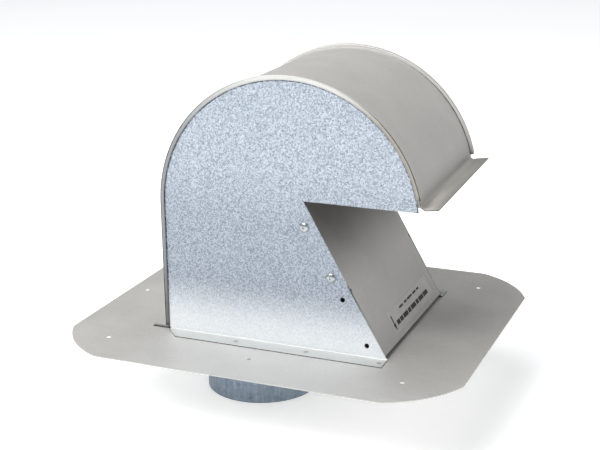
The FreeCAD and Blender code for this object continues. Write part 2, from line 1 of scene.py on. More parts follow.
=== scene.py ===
# %% [markdown]
# # A dryer roof vent
#
# This hood sits on a roof over the end of a clothes dryer's four-inch duct. A flashing lies on the roof,
# a bent sheet makes the back, the arch and the lip of the mouth, and two galvanised side plates are held in
# its folded edges. The fixed frame comes from the CAD model, and every piece made here rides on one of
# its bodies.

# %% Load the fixed frame
import math

import bmesh
import bpy
from mathutils import Matrix, Vector


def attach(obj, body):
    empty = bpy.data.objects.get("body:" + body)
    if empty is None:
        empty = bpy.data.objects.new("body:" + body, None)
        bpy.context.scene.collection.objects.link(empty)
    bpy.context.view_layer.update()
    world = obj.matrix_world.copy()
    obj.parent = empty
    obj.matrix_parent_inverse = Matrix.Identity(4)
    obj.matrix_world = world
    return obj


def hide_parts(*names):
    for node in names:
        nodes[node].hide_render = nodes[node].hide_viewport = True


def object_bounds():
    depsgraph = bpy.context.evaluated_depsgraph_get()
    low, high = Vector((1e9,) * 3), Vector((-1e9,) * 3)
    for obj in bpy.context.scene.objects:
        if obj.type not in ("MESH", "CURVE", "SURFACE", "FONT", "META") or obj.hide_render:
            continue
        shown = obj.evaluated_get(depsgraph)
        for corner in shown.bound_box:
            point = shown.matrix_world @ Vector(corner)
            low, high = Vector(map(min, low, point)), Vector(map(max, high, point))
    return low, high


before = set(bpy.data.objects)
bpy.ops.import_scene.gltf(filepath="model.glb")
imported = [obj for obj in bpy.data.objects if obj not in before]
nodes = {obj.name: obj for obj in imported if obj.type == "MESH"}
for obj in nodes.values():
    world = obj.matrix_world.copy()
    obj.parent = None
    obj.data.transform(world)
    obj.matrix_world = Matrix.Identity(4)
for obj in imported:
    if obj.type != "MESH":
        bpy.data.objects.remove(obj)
cad_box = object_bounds()
print("nodes:", len(nodes), "box in mm:", [[round(v * 1000, 1) for v in corner] for corner in cad_box])

# %% [markdown]
# ## Sizes
#
# The CAD is in millimetres and Blender works in metres. The sizes below are the CAD's own, so a rebuilt
# sheet lands on the plates that it holds. Each is written once, and later cells only use its name. NEARLY is
# how far a point may lie from a line and still be counted as on it.

# %% Sizes of the sheet metal
MM = 0.001
GAUGE = 0.7 * MM
ARCH_CENTRE = Vector((60, 0, 115.1)) * MM
RIM_RADIUS = 116.5 * MM
WEB_RADIUS = 113.5 * MM
HOOD_HALF = 80 * MM
WEB_HALF = 76.2 * MM
PLATE_FACE = 79.2 * MM
ROOF_TOP = 0.7 * MM
NEARLY = 0.1 * MM
print("arch", RIM_RADIUS / MM, "mm over a web of", WEB_RADIUS / MM, "mm, sheet", GAUGE / MM, "mm")

# %% [markdown]
# ## Colours and nodes
#
# Colours are picked as sRGB hex values, as on a screen, and one function turns them to the linear values
# that a shader adds up. One more small function adds a shader node with its settings and its links, so that
# each material below reads as a short list.

# %% Colour and node helpers
def linear(hex_colour):
    """Turns an sRGB hex colour into linear red, green, blue and an alpha of one."""
    channels = [int(hex_colour[start:start + 2], 16) / 255 for start in (1, 3, 5)]
    return [c / 12.92 if c <= 0.04045 else ((c + 0.055) / 1.055) ** 2.4 for c in channels] + [1]


def add_node(material, kind, settings=None, links=None):
    """Adds a node, sets its properties or socket values, and links other nodes' outputs to its inputs."""
    node = material.node_tree.nodes.new(kind)
    for name, setting in (settings or {}).items():
        if isinstance(name, int) or name in node.inputs:
            node.inputs[name].default_value = setting
        else:
            setattr(node, name, setting)
    for name, output in (links or {}).items():
        material.node_tree.links.new(output, node.inputs[name])
    return node


def new_material(name):
    """An empty node material."""
    material = bpy.data.materials.new(name)
    material.use_nodes = True
    material.node_tree.nodes.clear()
    return material


print("pure white is", linear("#ffffff"), "and mid grey is", [round(c, 3) for c in linear("#808080")])

# %% [markdown]
# Two of the finishes have marks that follow the arch. They measure the distance to the arch's axis. Below the
# arch's centre the height counts as nothing, so a mark at one distance comes straight down the back.

# %% Distance from the arch's axis
def reach_from_arch(material, spot):
    """Adds the nodes that measure a place's distance from the arch's axis and returns their output."""
    offset = add_node(
        material, "ShaderNodeVectorMath", {"operation": "SUBTRACT", 1: ARCH_CENTRE}, {0: spot}
    )
    lifted = add_node(
        material,
        "ShaderNodeVectorMath",
        {"operation": "MAXIMUM", 1: (-1, -1, 0)},
        {0: offset.outputs["Vector"]},
    )
    flat = add_node(
        material,
        "ShaderNodeVectorMath",
        {"operation": "MULTIPLY", 1: (1, 0, 1)},
        {0: lifted.outputs["Vector"]},
    )
    reach = add_node(
        material, "ShaderNodeVectorMath", {"operation": "LENGTH"}, {0: flat.outputs["Vector"]}
    )
    return reach.outputs["Value"]


print("marks are measured from", [round(v / MM, 1) for v in ARCH_CENTRE], "mm")

# %% [markdown]
# ## Galvanised side plates
#
# The side plates are hot-dip galvanised steel. The zinc freezes as fine crystals about a millimetre wide,
# each at its own tilt, so each throws the light a little differently and the plate looks bluish and finely
# mottled. Cells of a Voronoi pattern stand for the crystals, and noise for the frost on them. Real frost
# is too fine to show, so it is drawn coarser, at half a millimetre. The mean of both is the grain, which
# sets the tone here and the relief further down.

# %% Material: galvanised steel, the zinc's crystals
CRYSTAL = 1 * MM
FROST = 0.5 * MM
galvanised = new_material("galvanised_steel_fine_spangle")
spot = add_node(galvanised, "ShaderNodeTexCoord").outputs["Object"]
crystals = add_node(galvanised, "ShaderNodeTexVoronoi", {"Scale": 1 / CRYSTAL}, {"Vector": spot})
frost = add_node(
    galvanised, "ShaderNodeTexNoise", {"Scale": 1 / FROST, "Detail": 2, "Roughness": 0.7}, {"Vector": spot}
)
grain = add_node(
    galvanised, "ShaderNodeMix", {"Factor": 0.5}, {2: crystals.outputs["Color"], 3: frost.outputs["Fac"]}
)
spread = add_node(
    galvanised, "ShaderNodeMapRange", {"From Min": 0.25, "From Max": 0.75}, {"Value": grain.outputs[0]}
)
zinc = add_node(
    galvanised,
    "ShaderNodeMix",
    {"data_type": "RGBA", 6: linear("#7a8694"), 7: linear("#d6dde6")},
    {"Factor": spread.outputs["Result"]},
)
print("crystals per metre:", round(1 / CRYSTAL))

# %% [markdown]
# A thin dark line follows the mouth of the folded seam, where the plate goes into the hood's sheet, up the
# back and over the arch, and patches of noise break it. It is painted shade from the rim's step, together
# with some dirt and forming oil that stay in the seam.

# %% The line of painted shade and dirt along the seam
SEAM_SHADE_RADIUS = 112.2 * MM
SEAM_SHADE_WIDTH = 0.6 * MM
SEAM_SHADE_PATCH = 2.5 * MM
beside = add_node(
    galvanised,
    "ShaderNodeMath",
    {"operation": "COMPARE", 1: SEAM_SHADE_RADIUS, 2: SEAM_SHADE_WIDTH},
    {0: reach_from_arch(galvanised, spot)},
)
patches = add_node(
    galvanised, "ShaderNodeTexNoise", {"Scale": 1 / SEAM_SHADE_PATCH, "Detail": 3}, {"Vector": spot}
)
broken = add_node(
    galvanised,
    "ShaderNodeMapRange",
    {"From Min": 0.36, "From Max": 0.6, "To Min": 0.15, "To Max": 0.95},
    {"Value": patches.outputs["Fac"]},
)
seam_shade_and_dirt = add_node(
    galvanised,
    "ShaderNodeMath",
    {"operation": "MULTIPLY"},
    {0: beside.outputs["Value"], 1: broken.outputs["Result"]},
)
seam_shaded = add_node(
    galvanised,
    "ShaderNodeMix",
    {"data_type": "RGBA", 7: linear("#4b525a")},
    {"Factor": seam_shade_and_dirt.outputs["Value"], 6: zinc.outputs[2]},
)
print("seam line at", round(SEAM_SHADE_RADIUS / MM, 1), "mm from the arch's axis")

# %% [markdown]
# The front panel lies between the plates, a tenth of a millimetre clear of each, and shade falls into that
# open joint. The joint is too thin to show, so its shade is painted coarser, as a dark strip on the plate's
# outer face along the sloping edge. Two directions are enough to find it: up the slope, and from the slope
# into the plate.

# %% Beside the front panel: where the joint is
SLOPE_FOOT = Vector((147.5, 0, 0.7)) * MM
UP_SLOPE = Vector((-73.2, 0, 128.6)).normalized()
INTO_PLATE = Vector((-UP_SLOPE.z, 0, UP_SLOPE.x))
JOINT_WIDTH = 0.6 * MM
JOINT_TOP = 70 * MM
parts = add_node(galvanised, "ShaderNodeSeparateXYZ", None, {"Vector": spot})
outward = add_node(galvanised, "ShaderNodeMath", {"operation": "ABSOLUTE"}, {0: parts.outputs["Y"]})
from_foot = add_node(
    galvanised, "ShaderNodeVectorMath", {"operation": "SUBTRACT", 1: SLOPE_FOOT}, {0: spot}
)
inset = add_node(
    galvanised,
    "ShaderNodeVectorMath",
    {"operation": "DOT_PRODUCT", 1: INTO_PLATE},
    {0: from_foot.outputs["Vector"]},
)
risen = add_node(
    galvanised,
    "ShaderNodeVectorMath",
    {"operation": "DOT_PRODUCT", 1: UP_SLOPE},
    {0: from_foot.outputs["Vector"]},
)
print("joint line up to", JOINT_TOP / MM, "mm along the slope")

# %% Painted shade of the open joint beside the front panel
edge_strip = add_node(
    galvanised, "ShaderNodeMath", {"operation": "LESS_THAN", 1: JOINT_WIDTH}, {0: inset.outputs["Value"]}
)
outer_face = add_node(
    galvanised,
    "ShaderNodeMath",
    {"operation": "GREATER_THAN", 1: PLATE_FACE - 2 * NEARLY},
    {0: outward.outputs["Value"]},
)
below_notch = add_node(
    galvanised, "ShaderNodeMath", {"operation": "LESS_THAN", 1: JOINT_TOP}, {0: risen.outputs["Value"]}
)
outer_strip = add_node(
    galvanised,
    "ShaderNodeMath",
    {"operation": "MULTIPLY"},
    {0: edge_strip.outputs["Value"], 1: outer_face.outputs["Value"]},
)
joint = add_node(
    galvanised,
    "ShaderNodeMath",
    {"operation": "MULTIPLY"},
    {0: outer_strip.outputs["Value"], 1: below_notch.outputs["Value"]},
)
joint_shaded = add_node(
    galvanised,
    "ShaderNodeMix",
    {"data_type": "RGBA", 7: linear("#5d6268")},
    {"Factor": joint.outputs["Value"], 6: seam_shaded.outputs[2]},
)
print("joint", JOINT_WIDTH / MM, "mm wide")

# %% [markdown]
# The plate isn't one even tone from top to foot, because light is painted into it. Painted shade makes it
# dullest below the arch. A painted glow makes it palest in the last centimetres above the flashing, which
# throws light up at it. Both are soft zones by height. The first multiplies the tone, and the second mixes in
# a paler zinc that keeps the same grain.

# %% The plate's painted shade and glow from top to foot
SHADE_FROM, SHADE_BELOW = 165 * MM, 95 * MM
GLOW_ZONE_FROM, GLOW_ZONE_BELOW = 56 * MM, 3 * MM
below_arch = add_node(
    galvanised,
    "ShaderNodeMapRange",
    {"From Min": SHADE_FROM, "From Max": SHADE_BELOW, "interpolation_type": "SMOOTHSTEP"},
    {"Value": parts.outputs["Z"]},
)
shaded_below_arch = add_node(
    galvanised,
    "ShaderNodeMix",
    {"data_type": "RGBA", "blend_type": "MULTIPLY", 7: linear("#eaebec")},
    {"Factor": below_arch.outputs["Result"], 6: joint_shaded.outputs[2]},
)
glow_lit_zinc = add_node(
    galvanised,
    "ShaderNodeMix",
    {"data_type": "RGBA", 6: linear("#e7eef5"), 7: linear("#fdfeff")},
    {"Factor": spread.outputs["Result"]},
)
glow_zone = add_node(
    galvanised,
    "ShaderNodeMapRange",
    {"From Min": GLOW_ZONE_FROM, "From Max": GLOW_ZONE_BELOW, "interpolation_type": "SMOOTHSTEP"},
    {"Value": parts.outputs["Z"]},
)
glow_lit = add_node(
    galvanised,
    "ShaderNodeMix",
    {"data_type": "RGBA"},
    {"Factor": glow_zone.outputs["Result"], 6: shaded_below_arch.outputs[2], 7: glow_lit_zinc.outputs[2]},
)
print("dull below", SHADE_BELOW / MM, "mm, pale below", GLOW_ZONE_FROM / MM, "mm")

# %% [markdown]
# The foot was clamped and welded to the flashing, which wiped its zinc plain. Because the foot faces up, its
# light grey is also a painted reflection of the light from above. The crack below it lies in deep shade and
# is too thin to show, so that shade is painted coarser: the lower three quarters of the foot's own edge are
# dark.

# %% The wiped, top-lit feet and the painted shade of the crack below them
TOP_LIT_FROM, TOP_LIT_BELOW = 2.6 * MM, 1.6 * MM
CRACK_TOP = ROOF_TOP + 0.75 * GAUGE
foot_zone = add_node(
    galvanised,
    "ShaderNodeMapRange",
    {"From Min": TOP_LIT_FROM, "From Max": TOP_LIT_BELOW, "To Max": 0.95},
    {"Value": parts.outputs["Z"]},
)
wiped_and_top_lit = add_node(
    galvanised,
    "ShaderNodeMix",
    {"data_type": "RGBA", 7: linear("#babbb8")},
    {"Factor": foot_zone.outputs["Result"], 6: glow_lit.outputs[2]},
)
under_foot = add_node(
    galvanised, "ShaderNodeMath", {"operation": "LESS_THAN", 1: CRACK_TOP}, {0: parts.outputs["Z"]}
)
foot_shaded = add_node(
    galvanised,
    "ShaderNodeMix",
    {"data_type": "RGBA", 7: linear("#4f4c48")},
    {"Factor": under_foot.outputs["Value"], 6: wiped_and_top_lit.outputs[2]},
)
print("the foot is wiped below", TOP_LIT_FROM / MM, "mm and dark below", round(CRACK_TOP / MM, 2), "mm")

# %% [markdown]
# Each crystal also has its own gloss, and the grain stands up a little. The zinc is a metal with a thin dull
# skin of its own salts, so Metallic is a little below one.

# %% The zinc's gloss and relief
ZINC_RELIEF = 0.15 * MM
matte = add_node(
    galvanised, "ShaderNodeMapRange", {"To Min": 0.5, "To Max": 0.68}, {"Value": crystals.outputs["Color"]}
)
relief = add_node(
    galvanised, "ShaderNodeBump", {"Strength": 0.55, "Distance": ZINC_RELIEF}, {"Height": grain.outputs[0]}
)
skin = add_node(
    galvanised,
    "ShaderNodeBsdfPrincipled",
    {"Metallic": 0.85},
    {
        "Base Color": foot_shaded.outputs[2],
        "Roughness": matte.outputs["Result"],
        "Normal": relief.outputs["Normal"],
    },
)
add_node(galvanised, "ShaderNodeOutputMaterial", None, {"Surface": skin.outputs["BSDF"]})
print("zinc nodes:", len(galvanised.node_tree.nodes))

# %% [markdown]
# ## Hood, flashing and front panel
#
# The other sheets are steel with an aluminium-zinc coat, rolled and skin-passed. The coat is warmer and
# smoother than zinc: a satin grey with faint lines along the way the sheet was rolled, a fine grit and a few
# soft clouds. Noise stretched along the sheet gives the lines. Real rolling lines and grit are about a tenth
# of a millimetre wide, too fine to show, so both are drawn about ten times as coarse.

# %% Aluminium-zinc coated steel, satin: lines, clouds and grit
ROLL_LINE = 0.9 * MM
ROLL_LENGTH = 40 * MM
CLOUD = 45 * MM
GRIT = 1.1 * MM
satin = new_material("aluminium_zinc_steel_satin")
spot = add_node(satin, "ShaderNodeTexCoord").outputs["Object"]
along = add_node(
    satin, "ShaderNodeMapping", {"Scale": (1 / ROLL_LENGTH, 1 / ROLL_LINE, 1 / ROLL_LENGTH)}, {"Vector": spot}
)
lines = add_node(satin, "ShaderNodeTexNoise", {"Scale": 1, "Detail": 3}, {"Vector": along.outputs["Vector"]})
cloud = add_node(satin, "ShaderNodeTexNoise", {"Scale": 1 / CLOUD, "Detail": 3}, {"Vector": spot})
grit = add_node(satin, "ShaderNodeTexNoise", {"Scale": 1 / GRIT, "Detail": 2}, {"Vector": spot})
wear = add_node(
    satin, "ShaderNodeMix", {"Factor": 0.35}, {2: cloud.outputs["Fac"], 3: lines.outputs["Fac"]}
)
speck = add_node(satin, "ShaderNodeMix", {"Factor": 0.45}, {2: wear.outputs[0], 3: grit.outputs["Fac"]})
print("rolling lines per metre:", round(1 / ROLL_LINE))

# %% [markdown]
# The same pattern sets the tone, the gloss and a shallow relief. The tone and the shader get names, because
# two copies of this material change what lies between them.

# %% Aluminium-zinc coated steel, satin: tone, gloss and relief
SATIN_RELIEF = 0.05 * MM
tone = add_node(
    satin,
    "ShaderNodeMix",
    {"name": "tone", "data_type": "RGBA", 6: linear("#aeaca8"), 7: linear("#e3e2df")},
    {"Factor": speck.outputs[0]},
)
matte = add_node(
    satin, "ShaderNodeMapRange", {"To Min": 0.6, "To Max": 0.75}, {"Value": speck.outputs[0]}
)
relief = add_node(
    satin, "ShaderNodeBump", {"Strength": 0.15, "Distance": SATIN_RELIEF}, {"Height": speck.outputs[0]}
)
skin = add_node(
    satin,
    "ShaderNodeBsdfPrincipled",
    {"name": "skin", "Metallic": 0.8},
    {
        "Base Color": tone.outputs[2],
        "Roughness": matte.outputs["Result"],
        "Normal": relief.outputs["Normal"],
    },
)
add_node(satin, "ShaderNodeOutputMaterial", None, {"Surface": skin.outputs["BSDF"]})
print("satin nodes:", len(satin.node_tree.nodes))

# %% [markdown]
# The front panel's upper part lies deep under the hood, where little light comes. Its finish is the same
# satin metal with painted shade: a soft darkening towards the top edge.

# %% Material: the sheltered front panel, with painted shade
SHELTER_FROM, SHELTER_ABOVE = 50 * MM, 118 * MM
sheltered = satin.copy()
sheltered.name = "aluminium_zinc_steel_painted_shade"
spot = add_node(sheltered, "ShaderNodeTexCoord").outputs["Object"]
parts = add_node(sheltered, "ShaderNodeSeparateXYZ", None, {"Vector": spot})
depth = add_node(
    sheltered,
    "ShaderNodeMapRange",
    {"From Min": SHELTER_FROM, "From Max": SHELTER_ABOVE, "interpolation_type": "SMOOTHSTEP"},
    {"Value": parts.outputs["Z"]},
)
shaded = add_node(
    sheltered,
    "ShaderNodeMix",
    {"data_type": "RGBA", "blend_type": "MULTIPLY", 7: linear("#9c9a97")},
    {"Factor": depth.outputs["Result"], 6: sheltered.node_tree.nodes["tone"].outputs[2]},
)
sheltered.node_tree.links.new(shaded.outputs[2], sheltered.node_tree.nodes["skin"].inputs["Base Color"])
print("sheltered panel nodes:", len(sheltered.node_tree.nodes))

# %% [markdown]
# The hood's sheet is the same metal again. The outer band of its folded seam carries painted light: it is a
# cooler, darker grey up the back and paler over the arch, as the light falls. It is also browner towards the
# mouth. Its material is a copy that lays these tones over the band, by how far forward a place is.

# %% Material: the hood's folded sheet, with painted light on its seam's band
folded = satin.copy()
folded.name = "aluminium_zinc_steel_folded"
BAND_SHADE_BEHIND, BAND_LIT_BEYOND = -50 * MM, 40 * MM
BROWN_FROM, BROWN_BEYOND = 100 * MM, 150 * MM
spot = add_node(folded, "ShaderNodeTexCoord").outputs["Object"]
parts = add_node(folded, "ShaderNodeSeparateXYZ", None, {"Vector": spot})
outward = add_node(folded, "ShaderNodeMath", {"operation": "ABSOLUTE"}, {0: parts.outputs["Y"]})
lit_over_arch = add_node(
    folded,
    "ShaderNodeMapRange",
    {"From Min": BAND_SHADE_BEHIND, "From Max": BAND_LIT_BEYOND, "interpolation_type": "SMOOTHSTEP"},
    {"Value": parts.outputs["X"]},
)
band_light_tone = add_node(
    folded,
    "ShaderNodeMix",
    {"data_type": "RGBA", 6: linear("#868d94"), 7: linear("#e0e1de")},
    {"Factor": lit_over_arch.outputs["Result"]},
)
at_mouth = add_node(
    folded,
    "ShaderNodeMapRange",
    {"From Min": BROWN_FROM, "From Max": BROWN_BEYOND, "interpolation_type": "SMOOTHSTEP"},
    {"Value": parts.outputs["X"]},
)
browned = add_node(
    folded,
    "ShaderNodeMix",
    {"data_type": "RGBA", 7: linear("#99938a")},
    {"Factor": at_mouth.outputs["Result"], 6: band_light_tone.outputs[2]},
)
band = add_node(
    folded,
    "ShaderNodeMath",
    {"operation": "GREATER_THAN", 1: HOOD_HALF - 2 * NEARLY},
    {0: outward.outputs["Value"]},
)
band_share = add_node(folded, "ShaderNodeMath", {"operation": "MULTIPLY", 1: 0.7}, {0: band.outputs["Value"]})
banded = add_node(
    folded,
    "ShaderNodeMix",
    {"data_type": "RGBA"},
    {
        "Factor": band_share.outputs["Value"],
        6: folded.node_tree.nodes["tone"].outputs[2],
        7: browned.outputs[2],
    },
)
print("the band's tone turns at", BAND_LIT_BEYOND / MM, "and", BROWN_FROM / MM, "mm forward")

# %% [markdown]
# The lip is a little darker than the web behind it.

# %% The duller lip
LIP_DULL_FROM, LIP_DULL_BEYOND = 170 * MM, 178 * MM
at_lip = add_node(
    folded,
    "ShaderNodeMapRange",
    {"From Min": LIP_DULL_FROM, "From Max": LIP_DULL_BEYOND},
    {"Value": parts.outputs["X"]},
)
lipped = add_node(
    folded,
    "ShaderNodeMix",
    {"data_type": "RGBA", "blend_type": "MULTIPLY", 7: linear("#dfdedb")},
    {"Factor": at_lip.outputs["Result"], 6: banded.outputs[2]},
)
print("duller from", LIP_DULL_FROM / MM, "mm forward")

# %% [markdown]
# Two dark lines of painted shade follow the seam: one in the crease where the fold was pressed over the side
# plate, and one in the corner where the seam steps up from the web. Each is found by its distance from the
# arch's axis and from the hood's middle. Noise breaks them, and they fade over the crest.

# %% The two lines of painted shade in the seam
FOLD_RADIUS = 115.8 * MM
CORNER_RADIUS = 113.6 * MM
FOLD_LINE = (FOLD_RADIUS, 0.45 * MM, HOOD_HALF, 0.6 * MM)
CORNER_LINE = (CORNER_RADIUS, 0.7 * MM, WEB_HALF - 0.3 * MM, 0.5 * MM)
reach = reach_from_arch(folded, spot)
shade_lines = []
for radius, radius_width, y_centre, y_width in (FOLD_LINE, CORNER_LINE):
    on_radius = add_node(
        folded, "ShaderNodeMath", {"operation": "COMPARE", 1: radius, 2: radius_width}, {0: reach}
    )
    on_side = add_node(
        folded,
        "ShaderNodeMath",
        {"operation": "COMPARE", 1: y_centre, 2: y_width},
        {0: outward.outputs["Value"]},
    )
    shade_line = add_node(
        folded,
        "ShaderNodeMath",
        {"operation": "MULTIPLY"},
        {0: on_radius.outputs["Value"], 1: on_side.outputs["Value"]},
    )
    shade_lines.append(shade_line.outputs["Value"])
both = add_node(folded, "ShaderNodeMath", {"operation": "MAXIMUM"}, {0: shade_lines[0], 1: shade_lines[1]})
print("fold line at", FOLD_RADIUS / MM, "mm, corner line at", CORNER_RADIUS / MM, "mm")

# %% The lines broken and faded
LINE_PATCH = 5 * MM
FADED_ABOVE, FULL_BELOW = 229 * MM, 185 * MM
patches = add_node(folded, "ShaderNodeTexNoise", {"Scale": 1 / LINE_PATCH, "Detail": 3}, {"Vector": spot})
broken = add_node(
    folded,
    "ShaderNodeMapRange",
    {"From Min": 0.2, "From Max": 0.7, "To Min": 0.5, "To Max": 0.95},
    {"Value": patches.outputs["Fac"]},
)
off_crest = add_node(
    folded,
    "ShaderNodeMapRange",
    {"From Min": FADED_ABOVE, "From Max": FULL_BELOW, "To Min": 0.2},
    {"Value": parts.outputs["Z"]},
)
gathered = add_node(
    folded,
    "ShaderNodeMath",
    {"operation": "MULTIPLY"},
    {0: broken.outputs["Result"], 1: off_crest.outputs["Result"]},
)
line = add_node(
    folded,
    "ShaderNodeMath",
    {"operation": "MULTIPLY"},
    {0: both.outputs["Value"], 1: gathered.outputs["Value"]},
)
crease_shaded = add_node(
    folded,
    "ShaderNodeMix",
    {"data_type": "RGBA", 7: linear("#4a443d")},
    {"Factor": line.outputs["Value"], 6: lipped.outputs[2]},
)
print("lines broken every", LINE_PATCH / MM, "mm, full below", FULL_BELOW / MM, "mm")

# %% [markdown]
# At the back, the seam's foot ends just above the flashing, and the little pocket there is painted dark with
# shade.

# %% Painted shade at the seam's foot
POCKET_TOP, POCKET_FULL_BELOW = 7 * MM, 3.5 * MM
POCKET_FROM, POCKET_FULL_BEYOND = 74 * MM, 78 * MM
low = add_node(
    folded,
    "ShaderNodeMapRange",
    {"From Min": POCKET_TOP, "From Max": POCKET_FULL_BELOW, "To Max": 0.8},
    {"Value": parts.outputs["Z"]},
)
at_seam = add_node(
    folded,
    "ShaderNodeMapRange",
    {"From Min": POCKET_FROM, "From Max": POCKET_FULL_BEYOND},
    {"Value": outward.outputs["Value"]},
)
pocket = add_node(
    folded,
    "ShaderNodeMath",
    {"operation": "MULTIPLY"},
    {0: low.outputs["Result"], 1: at_seam.outputs["Result"]},
)
foot_shaded = add_node(
    folded,
    "ShaderNodeMix",
    {"data_type": "RGBA", 7: linear("#35322f")},
    {"Factor": pocket.outputs["Value"], 6: crease_shaded.outputs[2]},
)
folded.node_tree.links.new(foot_shaded.outputs[2], folded.node_tree.nodes["skin"].inputs["Base Color"])
print("folded sheet nodes:", len(folded.node_tree.nodes))

# %% [markdown]
# The shears leave the sheet's own edge bare: raw steel, dragged along the cut, with no coat on it. Its dark
# tone is also painted shade, for the thin edge that lies in shade.
# Like four more finishes further down, it is two tones in flecks of one size, so one function makes them.

# %% A finish of two tones in flecks
def flecked(name, fleck, tones, shader, detail=2):
    """A material whose tone wanders between two colours in flecks of one size."""
    material = new_material(name)
    spot = add_node(material, "ShaderNodeTexCoord").outputs["Object"]
    flecks = add_node(
        material, "ShaderNodeTexNoise", {"Scale": 1 / fleck, "Detail": detail}, {"Vector": spot}
    )
    tone = add_node(
        material,
        "ShaderNodeMix",
        {"data_type": "RGBA", 6: linear(tones[0]), 7: linear(tones[1])},
        {"Factor": flecks.outputs["Fac"]},
    )
    skin = add_node(material, "ShaderNodeBsdfPrincipled", shader, {"Base Color": tone.outputs[2]})
    add_node(material, "ShaderNodeOutputMaterial", None, {"Surface": skin.outputs["BSDF"]})
    print(name, "with flecks of", fleck / MM, "mm")
    return material


# %% Material: sheared edge, darkened with painted shade
TEAR = 0.6 * MM
sheared_edge_shaded = flecked(
    "steel_sheared_edge_shaded", TEAR, ("#38352f", "#6b665e"), {"Metallic": 1.0, "Roughness": 0.55}
)

# %% [markdown]
# ## The collar
#
# The duct collar is plain galvanised sheet rolled to a tube. Its dark blue grey is painted shade, because the
# collar hangs in the shade below the flashing. It is smoother along the tube than round it, because the roll
# drags the zinc. Its noise is stretched upright.
# The real streaks are finer than a millimetre, too fine to show, so they are drawn coarser. STREAKS holds
# their size in millimetres along X, Y and Z.

# %% Material: galvanised steel of the collar, with painted shade
STREAKS = (2.381, 2.381, 25)
BLOTCH = 3 * MM
collar_zinc_shaded = new_material("galvanised_steel_rolled_shaded")
spot = add_node(collar_zinc_shaded, "ShaderNodeTexCoord").outputs["Object"]
per_metre = [1 / (size * MM) for size in STREAKS]
drag = add_node(collar_zinc_shaded, "ShaderNodeMapping", {"Scale": per_metre}, {"Vector": spot})
streak = add_node(
    collar_zinc_shaded, "ShaderNodeTexNoise", {"Scale": 1, "Detail": 3}, {"Vector": drag.outputs["Vector"]}
)
blotch = add_node(collar_zinc_shaded, "ShaderNodeTexVoronoi", {"Scale": 1 / BLOTCH}, {"Vector": spot})
grain = add_node(
    collar_zinc_shaded, "ShaderNodeMix", {"Factor": 0.3}, {2: streak.outputs["Fac"], 3: blotch.outputs["Color"]}
)
tone = add_node(
    collar_zinc_shaded,
    "ShaderNodeMix",
    {"data_type": "RGBA", 6: linear("#4c5866"), 7: linear("#a5b2c0")},
    {"Factor": grain.outputs[0]},
)
matte = add_node(collar_zinc_shaded, "ShaderNodeMapRange", {"To Min": 0.3, "To Max": 0.5}, {"Value": grain.outputs[0]})
skin = add_node(
    collar_zinc_shaded,
    "ShaderNodeBsdfPrincipled",
    {"Metallic": 1.0},
    {"Base Color": tone.outputs[2], "Roughness": matte.outputs["Result"]},
)
add_node(collar_zinc_shaded, "ShaderNodeOutputMaterial", None, {"Surface": skin.outputs["BSDF"]})
print("streaks per metre:", [round(count) for count in per_metre])

# %% [markdown]
# ## Fasteners, hinge and damper
#
# The rivets are bright drawn aluminium, dented a little by the riveting tool, with broken stems of
# zinc-plated steel. The hinge rod is drawn stainless wire, and its retainers are oil-blackened spring steel.
# The damper blade is mill-finish aluminium with rolling lines. All are metals that differ in colour, in
# gloss and in the way their surface was worked.

# %% Material: drawn aluminium of the rivets
DENT = 1.2 * MM
DENT_DEPTH = 0.08 * MM
rivet_metal = new_material("aluminium_drawn_bright")
spot = add_node(rivet_metal, "ShaderNodeTexCoord").outputs["Object"]
dents = add_node(rivet_metal, "ShaderNodeTexNoise", {"Scale": 1 / DENT, "Detail": 2}, {"Vector": spot})
tone = add_node(
    rivet_metal,
    "ShaderNodeMix",
    {"data_type": "RGBA", 6: linear("#84898e"), 7: linear("#cdd2d5")},
    {"Factor": dents.outputs["Fac"]},
)
matte = add_node(
    rivet_metal, "ShaderNodeMapRange", {"To Min": 0.22, "To Max": 0.45}, {"Value": dents.outputs["Fac"]}
)
relief = add_node(
    rivet_metal, "ShaderNodeBump", {"Strength": 0.3, "Distance": DENT_DEPTH}, {"Height": dents.outputs["Fac"]}
)
skin = add_node(
    rivet_metal,
    "ShaderNodeBsdfPrincipled",
    {"Metallic": 1.0},
    {
        "Base Color": tone.outputs[2],
        "Roughness": matte.outputs["Result"],
        "Normal": relief.outputs["Normal"],
    },
)
add_node(rivet_metal, "ShaderNodeOutputMaterial", None, {"Surface": skin.outputs["BSDF"]})
print("rivet dents", DENT / MM, "mm wide")

# %% [markdown]
# Stems, rod and blade share one thing: drawing or rolling left fine lines along the metal. Noise stretched
# that way gives the tone and the gloss of all three. Real draw lines are a few hundredths of a millimetre
# wide, too fine to show, so the lines are drawn coarser, at about a millimetre. Their sizes are given in
# millimetres along X, Y and Z.

